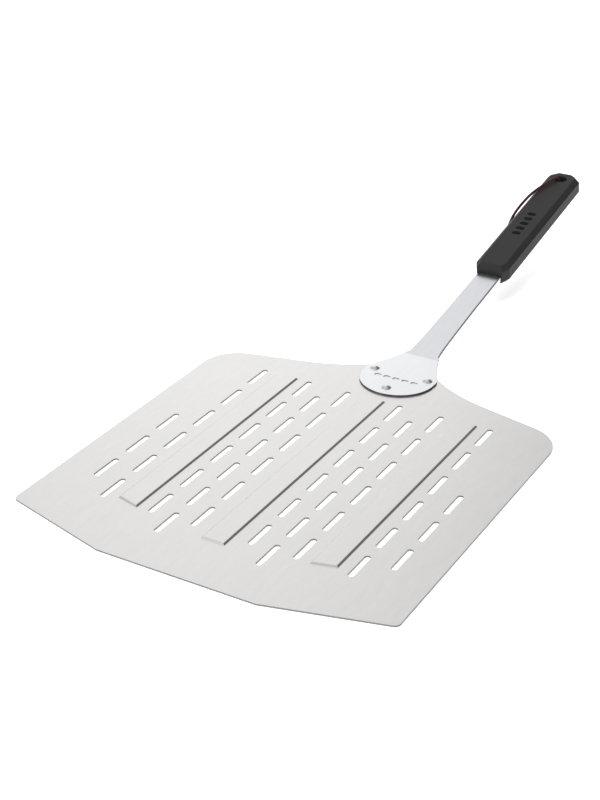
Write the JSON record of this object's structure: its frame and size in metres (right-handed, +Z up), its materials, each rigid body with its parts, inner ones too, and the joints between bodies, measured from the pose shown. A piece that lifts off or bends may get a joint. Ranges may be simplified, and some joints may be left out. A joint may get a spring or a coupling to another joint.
{
  "type": "pizza peel",
  "caption": "Perforated aluminium pizza peel with pressed ribs, a riveted bent steel neck and a black plastic grip with a cord loop.",
  "frame": {"origin": "centre of the neck's round plate, on the underside of the blade, which is the plane the peel rests on", "axes": "+X across the peel, +Y from the blade to the grip's tail, +Z up from the blade's face"},
  "size_m": [0.345, 0.7676, 0.0742],
  "materials": {
    "blade_aluminium": "fine satin, lightly brushed",
    "neck_steel": "smooth satin",
    "rivet_metal": "semi-bright",
    "grip_plastic": "matt moulded",
    "screw_steel": "zinc plated",
    "cord_fabric": "round woven cord"
  },
  "bodies": {
    "peel": {"blade": "blade_aluminium", "neck_plate": "neck_steel", "blade_rivets": "rivet_metal", "grip_upper": "grip_plastic", "grip_lower": "grip_plastic", "grip_screws": "screw_steel"},
    "cord_loop": {"hang_cord": "cord_fabric", "cord_knot": "cord_fabric"}
  },
  "joints": [
    {"name": "cord_swing", "type": "hinge", "parent": "peel", "child": "cord_loop", "pos_m": [-0.0024, 0.38512, 0.06152], "axis": [0, 0.1736, -0.9848], "range_deg": [0, 150]}
  ]
}
